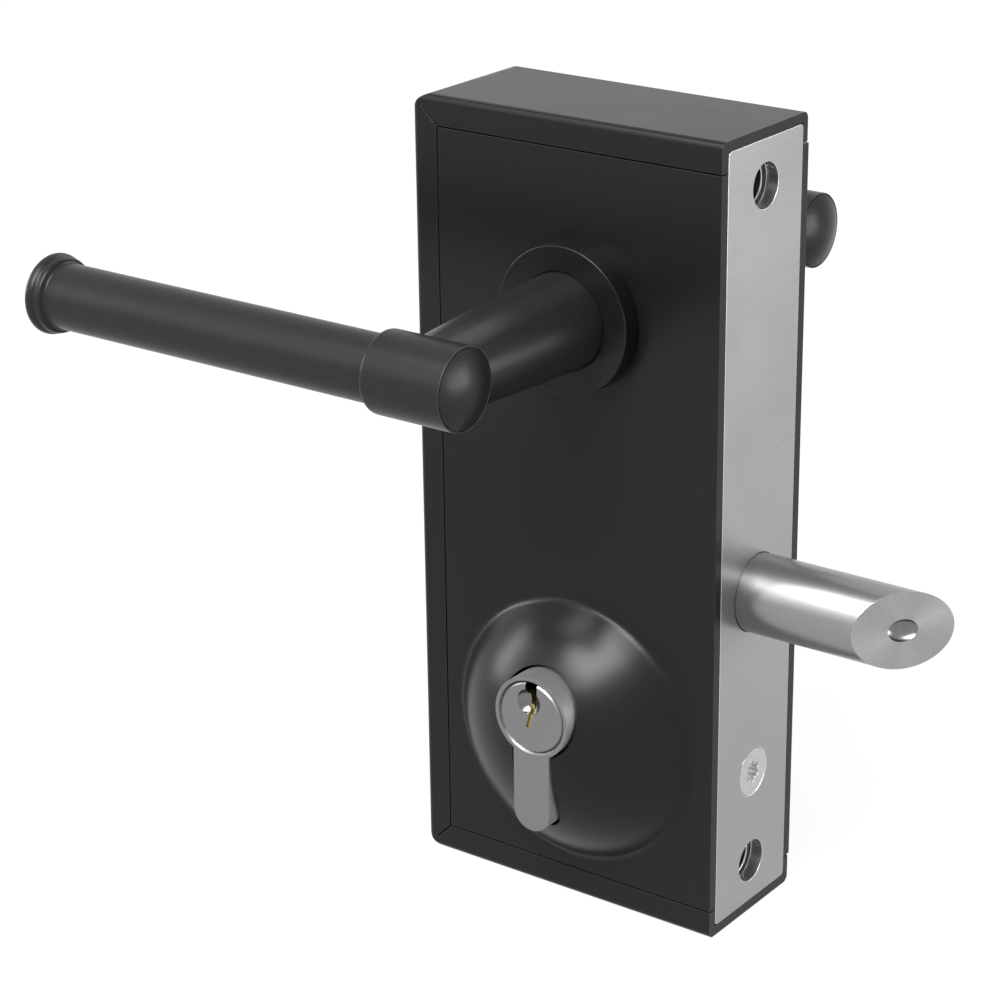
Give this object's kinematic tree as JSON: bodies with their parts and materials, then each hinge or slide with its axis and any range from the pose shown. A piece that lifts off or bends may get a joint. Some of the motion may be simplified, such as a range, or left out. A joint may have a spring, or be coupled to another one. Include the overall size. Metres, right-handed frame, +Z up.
{
  "type": "lever handle gate lock",
  "caption": "Slim black gate lock case that bolts to a gate frame, with lever handles on both sides, a slanted round latch and a profile cylinder in a domed guard.",
  "frame": {"origin": "on the faceplate's outer face, midway between the two fixing bolts", "axes": "+X out of the fixing face along the latch, +Z up along the case, -Y towards the front lever"},
  "size_m": [0.1626, 0.1364, 0.161],
  "materials": {
    "powder_coat": "satin black powder coat with a very fine grain",
    "faceplate_steel": "stainless steel brushed across",
    "latch_steel": "fine turned stainless steel",
    "bright_steel": "bright plated steel",
    "zinc_steel": "zinc plated steel",
    "spring_steel": "drawn spring steel",
    "satin_nickel": "satin nickel plate on brass",
    "brass": "machined brass",
    "nylon": "natural nylon"
  },
  "bodies": {
    "case": {"case_band": "powder_coat", "front_plate": "powder_coat", "rear_plate": "powder_coat", "faceplate": "faceplate_steel", "fixing_pillars": "zinc_steel", "case_posts": "zinc_steel", "front_rose": "powder_coat", "rear_rose": "powder_coat", "front_bearing": "nylon", "rear_bearing": "nylon", "rose_retainers": "spring_steel", "lever_spring": "spring_steel", "latch_guide": "brass", "latch_spring": "spring_steel", "spring_seat": "nylon", "slide_strips": "nylon", "deadlock_pins": "bright_steel", "cylinder_body": "satin_nickel", "cylinder_screw": "bright_steel", "driver_pins": "brass", "pin_springs": "spring_steel"},
    "levers": {"spindle": "bright_steel", "follower": "zinc_steel", "drive_pin": "bright_steel", "drive_bush": "spring_steel", "front_neck": "powder_coat", "front_elbow": "powder_coat", "front_bar": "powder_coat", "front_end_cap": "powder_coat", "front_grub_screw": "bright_steel", "rear_neck": "powder_coat", "rear_elbow": "powder_coat", "rear_bar": "powder_coat", "rear_end_cap": "powder_coat", "rear_grub_screw": "bright_steel"},
    "latch": {"latch_bolt": "latch_steel", "latch_pin": "bright_steel", "latch_rod": "bright_steel", "latch_carriage": "zinc_steel", "carriage_screws": "bright_steel", "drive_plate": "zinc_steel"},
    "deadlock": {"deadlock_slide": "zinc_steel"},
    "front_key_plug": {"front_plug": "satin_nickel", "cylinder_cam": "zinc_steel", "front_plug_clip": "spring_steel", "front_key_pins": "brass"},
    "rear_key_plug": {"rear_plug": "satin_nickel", "rear_plug_clip": "spring_steel", "rear_key_pins": "brass"}
  },
  "joints": [
    {"name": "lever_turn", "type": "hinge", "parent": "case", "child": "levers", "pos_m": [-0.0322, 0, 0.0427], "axis": [0, -1, 0], "range_deg": [0, 42], "stiffness_Nm_per_rad": 1, "springref_deg": -45.84, "deforming": ["lever_spring"]},
    {"name": "latch_slide", "type": "slide", "parent": "case", "child": "latch", "axis": [-1, 0, 0], "range_m": [0, 0.0181], "stiffness_N_per_m": 300, "springref_m": -0.02, "deforming": ["latch_spring"]},
    {"name": "deadlock_throw", "type": "slide", "parent": "case", "child": "deadlock", "axis": [0, 0, 1], "range_m": [0, 0.005]},
    {"name": "front_plug_turn", "type": "hinge", "parent": "case", "child": "front_key_plug", "pos_m": [-0.0322, 0, -0.035], "axis": [0, -1, 0], "continuous": true},
    {"name": "rear_plug_turn", "type": "hinge", "parent": "case", "child": "rear_key_plug", "pos_m": [-0.0322, 0, -0.035], "axis": [0, 1, 0], "continuous": true}
  ],
  "couplings": [
    {"joint": "latch_slide", "follows": "lever_turn", "m_per_rad": 0.024646}
  ]
}
